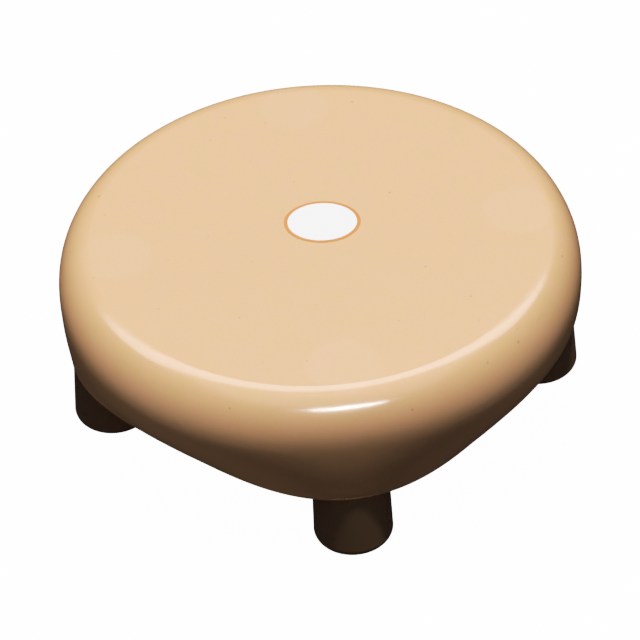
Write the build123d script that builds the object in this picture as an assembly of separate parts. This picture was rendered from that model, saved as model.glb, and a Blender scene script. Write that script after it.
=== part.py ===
from build123d import *

import math
import os

os.makedirs("parts", exist_ok=True)

# Round shower stool: a hollow plastic seat on four push-in round legs.
# Millimetres, +Z up, origin on the floor under the middle of the seat.
# One leg points to each of -Y (front), +X, +Y and -X.

# ---- seat ------------------------------------------------------------
SEAT_RADIUS = 160.0      # widest radius of the seat
SEAT_HEIGHT = 126.0      # floor to the flat top
WAIST_Z = 95.0           # height of the widest section
RIM_Z = 48.5             # height of the lower edge of the skirt
FLAT_RADIUS = 139.5      # where the flat top turns into the shoulder
RIM_CORNER = 156.5       # lip radius over a leg
RIM_SIDE = 138.5         # lip radius half-way between two legs
SKIRT_CURL = 2.0         # how late the skirt curls in: 1 straight, 3 very late
WALL = 3.0               # plastic thickness of the top and shoulder
RIM_WALL = 2.6           # plastic thickness at the rim
LIP_OUT = 0.5            # the lip stands out this far from the skirt
LIP_HEIGHT = 2.2
LIP_ROUND = 0.8          # rounding of the lip's edges

# ---- ribs and sockets under the seat ----------------------------------
RIB_WALL = 2.2
RIB_DEPTH = 15.0
RIB_RINGS = (34.0, 84.0)
RIB_COUNT = 8
SOCKET_WALL = 2.6

# ---- legs --------------------------------------------------------------
LEG_FOOT_CENTRE = 133.4  # distance of the foot's centre from the middle
LEG_LEAN = 1.8           # degrees that the legs spread towards the floor
LEG_TAPER = 1.2          # degrees per side, wider at the foot
LEG_RADIUS = 24.1        # widest radius, at the edge of the rounded foot
LEG_EDGE_Z = 7.0         # height of that edge
LEG_BASE_Z = 1.0         # underside of the plastic foot
LEG_BASE_RADIUS = 19.5   # flat part of the underside
LEG_BULGE = 1.1          # how far the rounded foot edge bulges, out and down
LEG_TOP_Z = 117.0
LEG_WALL = 2.6
SPIGOT_STEP = 3.0        # the part inside the socket is this much thinner
SPIGOT_LEAD = 1.5        # chamfer that guides the spigot in
SOCKET_GAP = 0.3         # round the spigot, and between shoulder and rim

# ---- rubber foot pads ---------------------------------------------------
PAD_RADIUS = 16.5
PAD_RECESS = 2.0         # how deep the pad sits in the foot
PAD_GAP = 0.3
PAD_CHAMFER = 0.6        # round the pad's lower edge

# ---- label on the seat ---------------------------------------------------
LABEL_WIDTH = 47.0
LABEL_DEPTH = 39.0
LABEL_THICK = 0.25
LABEL_CENTRE = (4.0, 10.0)
LABEL_TURN = -10.0       # degrees about Z: stuck on a little askew

# ---- how the shapes are drawn ----------------------------------------------
SECTION_POINTS = 48      # along each outline of the seat
SHOULDER_STEPS = 6       # outlines between the widest one and the flat top
SKIRT_STEPS = 5          # outlines between the rim and the widest one
CUT_SPARE = 3.0          # how far a cut runs out past the rim

LEG_NAMES = ("front", "right", "rear", "left")
LEG_AZIMUTHS = (-90.0, 0.0, 90.0, 180.0)


def rim_radius(azimuth):
    """Radius of the rounded-square lip of the rim: widest over the legs."""
    power = 1.0 / (0.5 - math.log2(RIM_CORNER / RIM_SIDE))
    turned = azimuth + math.pi / 4
    across = abs(math.cos(turned)) ** power
    along = abs(math.sin(turned)) ** power
    return RIM_SIDE / (across + along) ** (1.0 / power)


def skirt_radius(azimuth, drop):
    """Radius of the skirt: a circle at drop 0, just inside the lip at drop 1."""
    curl_in = SEAT_RADIUS - rim_radius(azimuth) + LIP_OUT
    return SEAT_RADIUS - curl_in * drop**SKIRT_CURL


def section(height, radius_at):
    """Closed smooth outline at one height, as a face."""
    points = []
    for step in range(SECTION_POINTS):
        azimuth = math.tau * step / SECTION_POINTS
        radius = radius_at(azimuth)
        points.append((radius * math.cos(azimuth), radius * math.sin(azimuth), height))
    return make_face(Spline(points, periodic=True))


def skirt_sections(inset):
    """Sections from the rim up to just under the widest one."""
    faces = []
    for step in range(SKIRT_STEPS):
        drop = 1.0 - step / SKIRT_STEPS
        height = WAIST_Z - drop * (WAIST_Z - RIM_Z)
        faces.append(section(height, lambda azimuth: skirt_radius(azimuth, drop) - inset))
    return faces


def shoulder_sections(inset):
    """Sections from the widest one up to the edge of the flat top."""
    faces = []
    for step in range(SHOULDER_STEPS + 1):
        turn = math.pi / 2 * step / SHOULDER_STEPS
        out = SEAT_RADIUS - inset - FLAT_RADIUS
        radius = FLAT_RADIUS + out * math.cos(turn)
        height = WAIST_Z + (SEAT_HEIGHT - inset - WAIST_Z) * math.sin(turn)
        faces.append(section(height, lambda azimuth: radius))
    return faces


def seat_envelope():
    """The seat as if it were solid."""
    return loft(skirt_sections(0.0) + shoulder_sections(0.0))


def seat_hollow():
    """The space inside the seat, running out below the rim."""
    upper = loft(skirt_sections(RIM_WALL) + shoulder_sections(WALL))
    mouth = section(RIM_Z, lambda azimuth: skirt_radius(azimuth, 1.0) - RIM_WALL)
    return upper + extrude(mouth, -2 * CUT_SPARE)


def rim_lip():
    """Small rounded lip along the rim, before it is hollowed."""
    lip = extrude(section(RIM_Z, rim_radius), LIP_HEIGHT)
    edges = lip.edges().group_by(Axis.Z)
    return fillet(edges[0] + edges[-1], LIP_ROUND)


def leg_centre(height):
    """Distance of a leg's axis from the middle of the stool."""
    return LEG_FOOT_CENTRE - (height - LEG_BASE_Z) * math.tan(math.radians(LEG_LEAN))


def leg_radius(height):
    return LEG_RADIUS - (height - LEG_EDGE_Z) * math.tan(math.radians(LEG_TAPER))


def leg_disc(height, grow):
    plane = Plane((leg_centre(height), 0, height))
    return plane * Circle(leg_radius(height) + grow)


def leg_cone(low, high, grow):
    """Leaning tapered column that a leg, its hollow and its socket share."""
    return loft([leg_disc(low, grow), leg_disc(high, grow)], ruled=True)


def rounded_foot():
    """Foot end below the leg's edge, with its bulging rounded side."""
    edge = leg_radius(LEG_EDGE_Z)
    low = (LEG_BASE_RADIUS, LEG_BASE_Z)
    middle = ((edge + LEG_BASE_RADIUS) / 2 + LEG_BULGE, (LEG_EDGE_Z + LEG_BASE_Z) / 2 - LEG_BULGE)
    high = (edge, LEG_EDGE_Z)
    side = ThreePointArc(low, middle, high)
    rest = Polyline(high, (0, LEG_EDGE_Z), (0, LEG_BASE_Z), low)
    profile = Plane.XZ * make_face(side + rest)
    return Pos(leg_centre(LEG_EDGE_Z), 0, 0) * revolve(profile, Axis.Z)


def leg_blank():
    """A leg along +X: hollow, closed at both ends, with a shoulder under the rim."""
    shoulder_z = RIM_Z - SOCKET_GAP
    spigot = leg_cone(shoulder_z, LEG_TOP_Z, -SPIGOT_STEP)
    spigot = chamfer(spigot.edges().group_by(Axis.Z)[-1], SPIGOT_LEAD)
    column = leg_cone(LEG_EDGE_Z, shoulder_z, 0.0) + rounded_foot() + spigot
    floor_z = LEG_BASE_Z + PAD_RECESS + LEG_WALL
    step_z = shoulder_z - LEG_WALL
    hollow = leg_cone(floor_z, step_z, -LEG_WALL)
    hollow = hollow + leg_cone(step_z, LEG_TOP_Z - LEG_WALL, -SPIGOT_STEP - LEG_WALL)
    recess_z = LEG_BASE_Z + PAD_RECESS / 2
    recess = Pos(leg_centre(LEG_BASE_Z), 0, recess_z) * Cylinder(PAD_RADIUS + PAD_GAP, PAD_RECESS)
    return column - hollow - recess


def pad_blank():
    """Rubber disc in the foot of the leg along +X, standing on the floor."""
    thick = LEG_BASE_Z + PAD_RECESS
    disc = Pos(leg_centre(LEG_BASE_Z), 0, thick / 2) * Cylinder(PAD_RADIUS, thick)
    return chamfer(disc.edges().group_by(Axis.Z)[0], PAD_CHAMFER)


def around(shape):
    """Copies of a shape for the four legs, starting from +X."""
    return [Rot(0, 0, azimuth) * shape for azimuth in LEG_AZIMUTHS]


def rib_web():
    """Ring ribs and radial ribs under the flat top, before trimming."""
    low = SEAT_HEIGHT - WALL - RIB_DEPTH
    high = SEAT_HEIGHT - WALL / 2
    middle = (low + high) / 2
    height = high - low
    pieces = []
    for radius in RIB_RINGS:
        outer = Cylinder(radius + RIB_WALL / 2, height)
        inner = Cylinder(radius - RIB_WALL / 2, 2 * height)
        pieces.append(Pos(0, 0, middle) * (outer - inner))
    length = FLAT_RADIUS + WALL - RIB_RINGS[0]
    for step in range(RIB_COUNT):
        bar = Box(length, RIB_WALL, height)
        placed = Pos(RIB_RINGS[0] + length / 2, 0, middle) * bar
        pieces.append(Rot(0, 0, 360.0 * step / RIB_COUNT) * placed)
    return pieces


def seat_shell():
    """Seat with its ribs and leg sockets, moulded in one."""
    envelope = seat_envelope()
    hollow = seat_hollow()
    shell = envelope + rim_lip() - hollow
    grow = SOCKET_GAP - SPIGOT_STEP
    sockets = around(leg_cone(RIM_Z, SEAT_HEIGHT - WALL / 2, grow + SOCKET_WALL))
    inside = [piece & envelope for piece in rib_web() + sockets]
    for piece in inside:
        shell = shell + piece
    bore = leg_cone(RIM_Z - CUT_SPARE, SEAT_HEIGHT - WALL, grow) & hollow
    for cut in around(bore):
        shell = shell - cut
    return shell


def label():
    """Thin oval label lying on the flat top."""
    oval = extrude(Ellipse(LABEL_WIDTH / 2, LABEL_DEPTH / 2), LABEL_THICK)
    x, y = LABEL_CENTRE
    return Pos(x, y, SEAT_HEIGHT) * Rot(0, 0, LABEL_TURN) * oval


def save(shape, name):
    solid = shape.solids()[0]
    solid.label = name
    export_step(solid, f"parts/{name}.step")


save(seat_shell(), "seat_shell")
save(label(), "label_sticker")
for name, leg, pad in zip(LEG_NAMES, around(leg_blank()), around(pad_blank())):
    save(leg, f"leg_{name}")
    save(pad, f"foot_pad_{name}")
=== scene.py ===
import math

import bpy
from mathutils import Matrix, Vector


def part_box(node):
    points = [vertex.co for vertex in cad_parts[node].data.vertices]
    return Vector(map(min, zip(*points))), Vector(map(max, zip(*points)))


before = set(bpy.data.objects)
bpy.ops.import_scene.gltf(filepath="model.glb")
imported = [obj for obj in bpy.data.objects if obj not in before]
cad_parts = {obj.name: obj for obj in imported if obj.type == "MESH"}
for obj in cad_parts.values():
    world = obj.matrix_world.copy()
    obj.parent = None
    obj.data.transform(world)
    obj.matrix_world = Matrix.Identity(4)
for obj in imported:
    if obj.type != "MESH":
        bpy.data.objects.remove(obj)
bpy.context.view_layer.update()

# Looks of the round plastic shower stool. Metres, +Z up, origin on the floor
# under the middle of the seat, one leg towards each of -Y (front), +X, +Y, -X.
# Azimuths, elevations and the lamps' angular sizes are degrees, azimuth 0 is the front.

# ---- camera: from the front and above, on a long lens -------------------------
VIEW_AZIMUTH = -4.7
VIEW_ELEVATION = 41.0
VIEW_ROLL = math.radians(3.45)
VIEW_DISTANCE = 3.2
LENS_MM = 294.2
SENSOR_MM = 36.0
FAR_CLIP = 50.0
AIM_HEIGHT = 0.095       # the view is centred on a point this high on the stool's axis
AIM_DROP = 0.0294        # moved down across the view by this much
AIM_SIDE = -0.0018       # and to the right by this much

# ---- tone curve: straight in the darks, rolling off in the lights -------------
CURVE_WHITE = 2.4        # scene value that is shown as full white
CURVE_POINTS = (
    (0.2, 0.2), (0.42, 0.41), (0.61, 0.535), (0.81, 0.635),
    (1.0, 0.71), (1.3, 0.812), (1.8, 0.93),
)
COMBINED_CURVE = 3       # the curve that acts on red, green and blue alike

# ---- broad lamps: name, azimuth, elevation, angular size, strength, nodes lit --
# Each one lights only its own nodes. The overhead key would reach the legs as well: it is
# kept off them, and a weak fill lights them instead, so that they look deep in the shade.
# The bounce lamps stand for light off the floor, so they come from below.
SEAT_NODES = ("seat_shell", "label_sticker")
LEG_NODES = ("leg_front", "leg_right", "leg_rear", "leg_left")
BROAD_LAMPS = (
    ("key", -20, 85.5, 14, 5.7, SEAT_NODES),
    ("bounce_left", -84, -30, 50, 0.40, SEAT_NODES),
    ("bounce_right", 88, -30, 50, 0.34, SEAT_NODES),
    ("leg_fill", 44, 82, 3, 0.5, LEG_NODES),
)
LAMP_DISTANCE = 3.0      # only sets where the lamp is drawn: its light is parallel

# ---- panels: name, azimuth, elevation, width, height, watts, outline -----------
# They are seen only as a sheen on the plastic.
PANELS = (
    ("front_streak", 3, 33, 0.74, 0.14, 27, "ELLIPSE"),
    ("front_veil", 0, 70, 2.2, 1.5, 15, "RECTANGLE"),
    ("top_ridge", 0, 112, 3.0, 0.8, 58, "RECTANGLE"),
    ("back_panel", 158, 52, 1.6, 1.1, 5, "RECTANGLE"),
)
PANEL_DISTANCE = 1.6
PANEL_TARGET = (0, 0, 0.1)

# ---- dim studio around the lamps ------------------------------------------------
WORLD_SPAN = (-0.1, 0.9)     # height on the unit sphere, from dimmest to brightest
WORLD_LOW = 0.006
WORLD_HIGH = 0.09
WORLD_TINT = (0.86, 0.97, 1.2, 1.0)

# ---- colours, scene-linear --------------------------------------------------------
TAN = (0.715, 0.375, 0.182)
TAN_PINK = (0.726, 0.376, 0.189)
TAN_WARM = (0.704, 0.377, 0.175)
# paler tint painted over each leg socket: a painted sheen for the light its shallow sink mark
# catches
SINK_PAINTED_SHEEN = (0.90, 0.62, 0.46)
SPECK = (0.20, 0.10, 0.06)
RUBBER = (0.030, 0.028, 0.027)
RUBBER_DUST = (0.16, 0.14, 0.12)
LABEL_FILM = (0.90, 0.89, 0.88)
LABEL_FIBRE = (0.62, 0.60, 0.57)
LABEL_BORDER = (0.58, 0.17, 0.03)
FLOOR_DARK = (0.78, 0.78, 0.78)
FLOOR_LIGHT = (0.84, 0.84, 0.84)
WHITE = (1, 1, 1, 1)

# ---- textures: features per metre, octaves of detail, roughness of the detail ----
BLOTCHES = (55, 3, 0.6)
CLOUDS = (9, 2, 0.5)
GRAIN = (1400, 2, 0.6)
ORANGE_PEEL = (650, 2, 0.5)
WAVES = (28, 2, 0.5)
SEAT_SHEEN = (40, 3, 0.6)
LEG_SHEEN = (60, 3, 0.6)
DUST = (240, 4, 0.7)
PAD_SHEEN = (300, 3, 0.6)
PAD_GRAIN = (900, 3, 0.6)
FIBRE = (2200, 2, 0.6)
FILM_SHEEN = (90, 2, 0.5)
FILM_RIPPLE = (500, 2, 0.5)
FLOOR_CLOUDS = (30, 4, 0.6)
FLOOR_GRAIN = (200, 2, 0.5)

# ---- the part of a texture's values that is used, from none to full ---------------
NOISE_SPAN = (0.3, 0.7)
BLOTCH_SPAN = (0.38, 0.62)
CLOUD_SPAN = (0.35, 0.65)
DUST_SPAN = (0.45, 0.80)

# ---- the most of each second colour that is mixed in ------------------------------
CLOUD_SHARE = 0.5
GRAIN_SHARE = 0.07
# the most of the painted sheen over the sockets that is mixed in
SINK_SHEEN_SHARE = 0.05
DUST_SHARE = 0.35
FIBRE_SHARE = 0.05

# ---- shader roughness, from shiniest to dullest -----------------------------------
SEAT_ROUGHNESS = (0.17, 0.21)
LEG_ROUGHNESS = (0.26, 0.34)
PAD_ROUGHNESS = (0.62, 0.82)
FILM_ROUGHNESS = (0.30, 0.42)
FLOOR_ROUGHNESS = 0.9

# ---- bumps: height in metres, strength ----------------------------------------------
WAVE_BUMP = (0.0006, 0.25)
SEAT_PEEL_BUMP = (0.00004, 0.5)
LEG_PEEL_BUMP = (0.00004, 0.6)
PAD_BUMP = (0.0001, 0.6)
FILM_BUMP = (0.00003, 0.4)
FLOOR_BUMP = (0.0002, 0.2)

# ---- small dark specks in the seat's plastic ------------------------------------------
SPECK_CELLS = 85             # cells per metre, with one point scattered in each
SPECK_SPAN = (0.10, 0.04)    # distance from the point, in cells, from edge to full
SPECK_PICK = (0.0, 0.6)      # a cell's random value, from the darkest speck to none
SPECK_SHARES = (0.45, 0.0)   # how much of the speck colour that gives

# ---- places on the seat -----------------------------------------------------------------
LEG_AZIMUTHS = (0, 90, 180, 270)
SINK_CENTRE = 0.1235            # from the stool's axis to the middle of a sink mark
SINK_SPAN = (0.026, 0.01872)    # distance from that middle, from edge to full
LABEL_HALF_WIDTH = 0.0235       # along the label's own axes, before it is turned
LABEL_HALF_DEPTH = 0.0195
LABEL_TURN = -10.0
LABEL_BORDER_SPAN = (0.895, 0.91)    # where the border starts, as a share of the way out

# ---- floor ---------------------------------------------------------------------------------
FLOOR_HALF = 8.0
FLOOR_GLOW = 2.2


def direction(azimuth, elevation):
    """Unit vector towards an azimuth and an elevation."""
    turn = math.radians(azimuth)
    lift = math.radians(elevation)
    flat = math.cos(lift)
    return Vector((math.sin(turn) * flat, -math.cos(turn) * flat, math.sin(lift)))


def link(obj):
    bpy.context.scene.collection.objects.link(obj)
    return obj


# ---- camera and light ----------------------------------------------------------------------

def add_camera():
    out = direction(VIEW_AZIMUTH, VIEW_ELEVATION)
    right = Vector((0, 0, 1)).cross(out).normalized()
    up = out.cross(right).normalized()
    centre = Vector((0, 0, AIM_HEIGHT)) - up * AIM_DROP + right * AIM_SIDE
    turned_right = right * math.cos(VIEW_ROLL) - up * math.sin(VIEW_ROLL)
    turned_up = up * math.cos(VIEW_ROLL) + right * math.sin(VIEW_ROLL)
    data = bpy.data.cameras.new("photo_view")
    data.lens = LENS_MM
    data.sensor_width = SENSOR_MM
    data.clip_end = FAR_CLIP
    cam = link(bpy.data.objects.new("photo_view", data))
    turn = Matrix((turned_right, turned_up, out)).transposed().to_4x4()
    cam.matrix_world = Matrix.Translation(centre + out * VIEW_DISTANCE) @ turn
    bpy.context.scene.camera = cam


def set_tone_curve():
    settings = bpy.context.scene.view_settings
    settings.view_transform = "Standard"
    settings.use_curve_mapping = True
    mapping = settings.curve_mapping
    mapping.white_level = (CURVE_WHITE, CURVE_WHITE, CURVE_WHITE)
    curve = mapping.curves[COMBINED_CURVE]
    for scene_value, shown in CURVE_POINTS:
        curve.points.new(scene_value / CURVE_WHITE, shown)
    mapping.update()


def add_lamp(data, place, target):
    """Lamp object at a place, looking at a target."""
    lamp = link(bpy.data.objects.new(data.name, data))
    turn = (place - target).to_track_quat("Z", "Y").to_matrix().to_4x4()
    lamp.matrix_world = Matrix.Translation(place) @ turn
    return lamp


def group(name, node_names):
    """Collection of these CAD nodes."""
    members = bpy.data.collections.new(name)
    for node_name in node_names:
        members.objects.link(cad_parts[node_name])
    return members


def add_broad_lamp(name, azimuth, elevation, angle, strength, lit):
    """Soft light without a sheen. It lights these nodes alone, and only the stool
    casts its shadows."""
    data = bpy.data.lights.new(name, "SUN")
    data.angle = math.radians(angle)
    data.energy = strength
    lamp = add_lamp(data, direction(azimuth, elevation) * LAMP_DISTANCE, Vector((0, 0, 0)))
    lamp.visible_glossy = False
    lamp.light_linking.receiver_collection = group(f"{name}_lights", lit)
    lamp.light_linking.blocker_collection = group(f"{name}_shadows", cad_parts)


def add_panel(name, azimuth, elevation, width, height, watts, outline):
    """Panel that is seen only as a sheen on the plastic."""
    data = bpy.data.lights.new(name, "AREA")
    data.shape = outline
    data.size = width
    data.size_y = height
    data.energy = watts
    target = Vector(PANEL_TARGET)
    lamp = add_lamp(data, target + direction(azimuth, elevation) * PANEL_DISTANCE, target)
    lamp.visible_diffuse = False


def add_world():
    """Dim studio: brighter overhead than at the horizon and below."""
    world = bpy.data.worlds.new("studio")
    world.use_nodes = True
    nodes = world.node_tree.nodes
    links = world.node_tree.links
    coords = nodes.new("ShaderNodeTexCoord")
    split = nodes.new("ShaderNodeSeparateXYZ")
    ramp = nodes.new("ShaderNodeMapRange")
    settings = (*WORLD_SPAN, WORLD_LOW, WORLD_HIGH)
    for name, value in zip(("From Min", "From Max", "To Min", "To Max"), settings):
        ramp.inputs[name].default_value = value
    links.new(coords.outputs["Generated"], split.inputs["Vector"])
    links.new(split.outputs["Z"], ramp.inputs["Value"])
    links.new(ramp.outputs["Result"], nodes["Background"].inputs["Strength"])
    nodes["Background"].inputs["Color"].default_value = WORLD_TINT
    bpy.context.scene.world = world


# ---- material helpers ------------------------------------------------------------------------

class Graph:
    """Short names for the node calls that every material here repeats."""

    def __init__(self, name):
        self.material = bpy.data.materials.new(name)
        self.material.use_nodes = True
        self.tree = self.material.node_tree
        self.shader = self.tree.nodes["Principled BSDF"]
        self.place = self.tree.nodes.new("ShaderNodeTexCoord").outputs["Object"]

    def join(self, source, socket):
        """Links a socket to the source, or sets it where the source is a plain value."""
        if isinstance(source, bpy.types.NodeSocket):
            self.tree.links.new(source, socket)
        else:
            socket.default_value = source

    def math(self, operation, a, b):
        node = self.tree.nodes.new("ShaderNodeMath")
        node.operation = operation
        self.join(a, node.inputs[0])
        self.join(b, node.inputs[1])
        return node.outputs["Value"]

    def remap(self, value, span, to=(0.0, 1.0)):
        """Smooth step from one span of values to another, held level outside it."""
        node = self.tree.nodes.new("ShaderNodeMapRange")
        node.interpolation_type = "SMOOTHSTEP"
        names = ("Value", "From Min", "From Max", "To Min", "To Max")
        for name, item in zip(names, (value, *span, *to)):
            self.join(item, node.inputs[name])
        return node.outputs["Result"]

    def mix(self, factor, a, b):
        node = self.tree.nodes.new("ShaderNodeMix")
        node.data_type = "RGBA"
        colour_a, colour_b = [s for s in node.inputs if s.type == "RGBA"]
        self.join(factor, node.inputs["Factor"])
        self.join((*a, 1.0) if isinstance(a, tuple) else a, colour_a)
        self.join((*b, 1.0) if isinstance(b, tuple) else b, colour_b)
        return [s for s in node.outputs if s.type == "RGBA"][0]

    def noise(self, scale, detail, roughness):
        node = self.tree.nodes.new("ShaderNodeTexNoise")
        node.inputs["Scale"].default_value = scale
        node.inputs["Detail"].default_value = detail
        node.inputs["Roughness"].default_value = roughness
        self.join(self.place, node.inputs["Vector"])
        return node.outputs["Fac"]

    def cells(self, scale):
        """Distance to the nearest scattered point, and that point's random value."""
        node = self.tree.nodes.new("ShaderNodeTexVoronoi")
        node.inputs["Scale"].default_value = scale
        self.join(self.place, node.inputs["Vector"])
        pick = self.tree.nodes.new("ShaderNodeSeparateColor")
        self.join(node.outputs["Color"], pick.inputs["Color"])
        return node.outputs["Distance"], pick.outputs["Red"]

    def distance_from(self, middle, turn=0.0, scale=(1, 1, 1)):
        """Distance from a point, on axes turned about +Z and stretched by scale."""
        place = self.tree.nodes.new("ShaderNodeMapping")
        place.vector_type = "TEXTURE"
        place.inputs["Location"].default_value = middle
        place.inputs["Rotation"].default_value = (0, 0, math.radians(turn))
        place.inputs["Scale"].default_value = scale
        self.join(self.place, place.inputs["Vector"])
        length = self.tree.nodes.new("ShaderNodeVectorMath")
        length.operation = "LENGTH"
        self.join(place.outputs["Vector"], length.inputs[0])
        return length.outputs["Value"]

    def bump(self, height, size, under=None):
        """Bumps of that size, on top of the ones under them."""
        node = self.tree.nodes.new("ShaderNodeBump")
        distance, strength = size
        node.inputs["Distance"].default_value = distance
        node.inputs["Strength"].default_value = strength
        self.join(height, node.inputs["Height"])
        if under:
            self.join(under, node.inputs["Normal"])
        return node.outputs["Normal"]

    def finish(self, colour, roughness, normal):
        self.join(colour, self.shader.inputs["Base Color"])
        self.join(roughness, self.shader.inputs["Roughness"])
        self.join(normal, self.shader.inputs["Normal"])
        return self.material


# ---- materials ---------------------------------------------------------------------------------

def mottled(graph):
    """Tan with the slight blotches and grain of coloured moulded plastic."""
    blotch = graph.remap(graph.noise(*BLOTCHES), BLOTCH_SPAN)
    cloud = graph.remap(graph.noise(*CLOUDS), CLOUD_SPAN)
    colour = graph.mix(blotch, TAN_WARM, TAN_PINK)
    colour = graph.mix(graph.math("MULTIPLY", cloud, CLOUD_SHARE), colour, TAN)
    grain = graph.remap(graph.noise(*GRAIN), NOISE_SPAN, (0.0, GRAIN_SHARE))
    return graph.mix(grain, colour, SPECK)


def painted_sink_sheen(graph):
    """Mask of the painted sheen over the sockets: 1 in the round sink mark by each leg socket,
    falling to 0 at the mark's edge.
    """
    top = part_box("seat_shell")[1].z
    total = 0.0
    for azimuth in LEG_AZIMUTHS:
        centre = direction(azimuth, 0) * SINK_CENTRE
        out = graph.distance_from((centre.x, centre.y, top))
        total = graph.math("ADD", total, graph.remap(out, SINK_SPAN))
    return total


def specks(graph):
    """Strength of the small dark specks, stronger in some cells than in others."""
    away, pick = graph.cells(SPECK_CELLS)
    dot = graph.remap(away, SPECK_SPAN)
    return graph.math("MULTIPLY", dot, graph.remap(pick, SPECK_PICK, SPECK_SHARES))


def seat_plastic():
    graph = Graph("tan_seat_plastic")
    colour = mottled(graph)
    # painted sheen: a paler tint over each socket stands in for the light its sink mark catches
    sink_sheen = graph.math("MULTIPLY", painted_sink_sheen(graph), SINK_SHEEN_SHARE)
    colour = graph.mix(sink_sheen, colour, SINK_PAINTED_SHEEN)
    colour = graph.mix(specks(graph), colour, SPECK)
    roughness = graph.remap(graph.noise(*SEAT_SHEEN), NOISE_SPAN, SEAT_ROUGHNESS)
    waves = graph.bump(graph.noise(*WAVES), WAVE_BUMP)
    normal = graph.bump(graph.noise(*ORANGE_PEEL), SEAT_PEEL_BUMP, waves)
    return graph.finish(colour, roughness, normal)


def leg_plastic():
    graph = Graph("tan_leg_plastic")
    colour = mottled(graph)
    roughness = graph.remap(graph.noise(*LEG_SHEEN), NOISE_SPAN, LEG_ROUGHNESS)
    return graph.finish(colour, roughness, graph.bump(graph.noise(*ORANGE_PEEL), LEG_PEEL_BUMP))


def pad_rubber():
    graph = Graph("black_pad_rubber")
    dust = graph.remap(graph.noise(*DUST), DUST_SPAN, (0.0, DUST_SHARE))
    colour = graph.mix(dust, RUBBER, RUBBER_DUST)
    roughness = graph.remap(graph.noise(*PAD_SHEEN), NOISE_SPAN, PAD_ROUGHNESS)
    return graph.finish(colour, roughness, graph.bump(graph.noise(*PAD_GRAIN), PAD_BUMP))


def label_film():
    """Blank satin film with a plain printed border."""
    low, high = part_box("label_sticker")
    graph = Graph("blank_label_film")
    half_sizes = (LABEL_HALF_WIDTH, LABEL_HALF_DEPTH, 1.0)
    out = graph.distance_from((low + high) / 2, LABEL_TURN, half_sizes)
    border = graph.remap(out, LABEL_BORDER_SPAN)
    fibre = graph.remap(graph.noise(*FIBRE), NOISE_SPAN, (0.0, FIBRE_SHARE))
    colour = graph.mix(border, graph.mix(fibre, LABEL_FILM, LABEL_FIBRE), LABEL_BORDER)
    roughness = graph.remap(graph.noise(*FILM_SHEEN), NOISE_SPAN, FILM_ROUGHNESS)
    return graph.finish(colour, roughness, graph.bump(graph.noise(*FILM_RIPPLE), FILM_BUMP))


def floor_finish():
    graph = Graph("pale_floor")
    graph.shader.inputs["Emission Color"].default_value = WHITE
    graph.shader.inputs["Emission Strength"].default_value = FLOOR_GLOW
    colour = graph.mix(graph.noise(*FLOOR_CLOUDS), FLOOR_DARK, FLOOR_LIGHT)
    normal = graph.bump(graph.noise(*FLOOR_GRAIN), FLOOR_BUMP)
    return graph.finish(colour, FLOOR_ROUGHNESS, normal)


def dress(prefix, material):
    """Gives that material to every CAD node whose name starts with the prefix."""
    for name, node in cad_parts.items():
        if name.startswith(prefix):
            node.data.materials.clear()
            node.data.materials.append(material)


def add_floor():
    """Pale glowing floor that neither lights the stool nor shows in its sheen."""
    half = FLOOR_HALF
    corners = [(-half, -half, 0), (half, -half, 0), (half, half, 0), (-half, half, 0)]
    mesh = bpy.data.meshes.new("floor")
    mesh.from_pydata(corners, [], [(0, 1, 2, 3)])
    floor = link(bpy.data.objects.new("floor", mesh))
    mesh.materials.append(floor_finish())
    floor.visible_diffuse = False
    floor.visible_glossy = False


add_camera()
set_tone_curve()
add_world()
for row in BROAD_LAMPS:
    add_broad_lamp(*row)
for row in PANELS:
    add_panel(*row)
add_floor()
dress("seat_shell", seat_plastic())
dress("leg_", leg_plastic())
dress("foot_pad_", pad_rubber())
dress("label_sticker", label_film())
